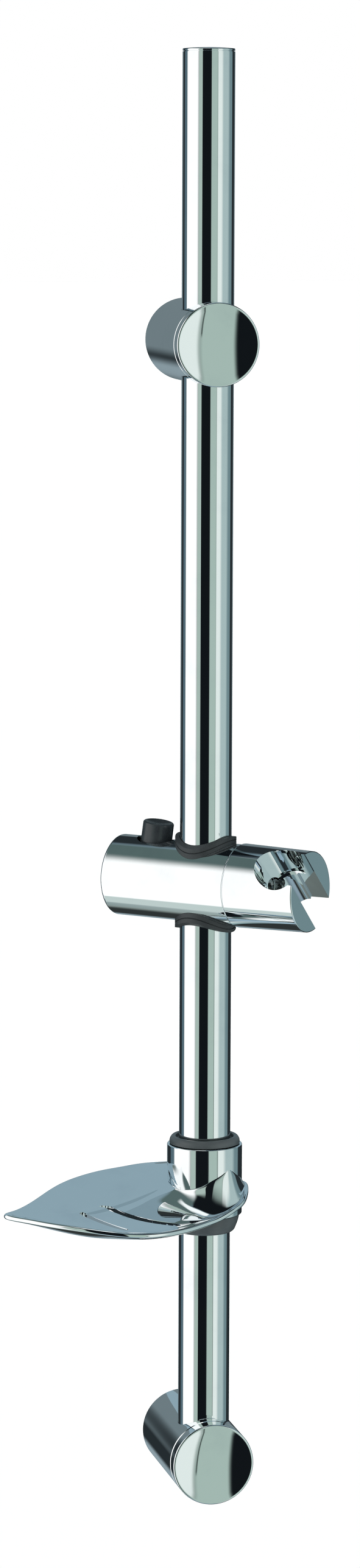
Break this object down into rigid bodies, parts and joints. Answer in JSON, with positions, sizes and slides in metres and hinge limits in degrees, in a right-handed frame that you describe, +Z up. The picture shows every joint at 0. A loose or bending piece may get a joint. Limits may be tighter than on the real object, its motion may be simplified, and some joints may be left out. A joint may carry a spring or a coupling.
{
  "type": "shower slide rail",
  "caption": "Shower slide rail: a tube held in round wall brackets, with a sliding and swivelling handset holder and a leaf-shaped soap dish.",
  "frame": {"origin": "centre of the lower bracket's wall face, on the axis of its wall-screw hole", "axes": "+Z up along the tube, +Y into the wall, +X to the right for someone who faces the wall; the wall is the plane y = 0"},
  "size_m": [0.1571, 0.1011, 0.7027],
  "materials": {
    "chrome": "polished chrome plating",
    "black_plastic": "satin",
    "dark_plastic": "moulded, satin",
    "grey_plastic": "moulded, satin",
    "rubber": "moulded, matt",
    "cast_metal": "cast, blasted",
    "steel": "bright"
  },
  "bodies": {
    "rail": {"rail_tube": "chrome", "rail_top_cap": "chrome", "rail_foot_plug": "dark_plastic", "lower_bracket_body": "chrome", "lower_bracket_cap": "chrome", "lower_wall_boss": "cast_metal", "lower_grub_screw": "steel", "lower_clamp_screw": "steel", "lower_clamp_pad": "dark_plastic"},
    "upper_bracket": {"upper_bracket_body": "chrome", "upper_bracket_cap": "chrome", "upper_wall_boss": "cast_metal", "upper_grub_screw": "steel", "upper_clamp_screw": "steel", "upper_clamp_pad": "dark_plastic"},
    "slider_grip": {"grip_sleeve": "dark_plastic"},
    "slider": {"slider_body": "chrome", "upper_seal": "rubber", "lower_seal": "rubber", "brake_spring": "steel", "lever_pin": "steel", "pivot_screw": "steel", "friction_washer": "steel"},
    "brake": {"brake_shoe": "dark_plastic"},
    "lever": {"lock_lever": "black_plastic"},
    "holder": {"handset_holder": "chrome"},
    "dish_grip": {"dish_bush": "dark_plastic", "dish_lock_ring": "grey_plastic"},
    "dish": {"soap_dish": "chrome"}
  },
  "joints": [
    {"name": "upper_bracket_slide", "type": "slide", "parent": "rail", "child": "upper_bracket", "axis": [0, 0, 1], "range_m": [-0.055, 0.1]},
    {"name": "slider_slide", "type": "slide", "parent": "rail", "child": "slider_grip", "axis": [0, 0, 1], "range_m": [-0.045, 0.15]},
    {"name": "slider_swivel", "type": "hinge", "parent": "slider_grip", "child": "slider", "pos_m": [0, -0.0475, 0.284], "axis": [0, 0, 1], "range_deg": [0, 72]},
    {"name": "lever_press", "type": "hinge", "parent": "slider", "child": "lever", "pos_m": [-0.02089, -0.02782, 0.2945], "axis": [0.6858, 0.7278, 0], "range_deg": [0, 7], "stiffness_Nm_per_rad": 2, "springref_deg": -8.59},
    {"name": "brake_release", "type": "slide", "parent": "slider", "child": "brake", "axis": [0.7278, -0.6858, 0], "range_m": [-0.00135, 0], "deforming": ["brake_spring"]},
    {"name": "holder_tilt", "type": "hinge", "parent": "slider", "child": "holder", "pos_m": [0, -0.0475, 0.284], "axis": [0.7278, -0.6858, 0], "range_deg": [-135, 45]},
    {"name": "dish_slide", "type": "slide", "parent": "rail", "child": "dish_grip", "axis": [0, 0, 1], "range_m": [-0.085, 0.045]},
    {"name": "dish_swivel", "type": "hinge", "parent": "dish_grip", "child": "dish", "pos_m": [0, -0.0475, 0.1555], "axis": [0, 0, 1], "range_deg": [-24, 180]}
  ],
  "couplings": [
    {"joint": "brake_release", "follows": "lever_press", "m_per_rad": -0.010384}
  ]
}
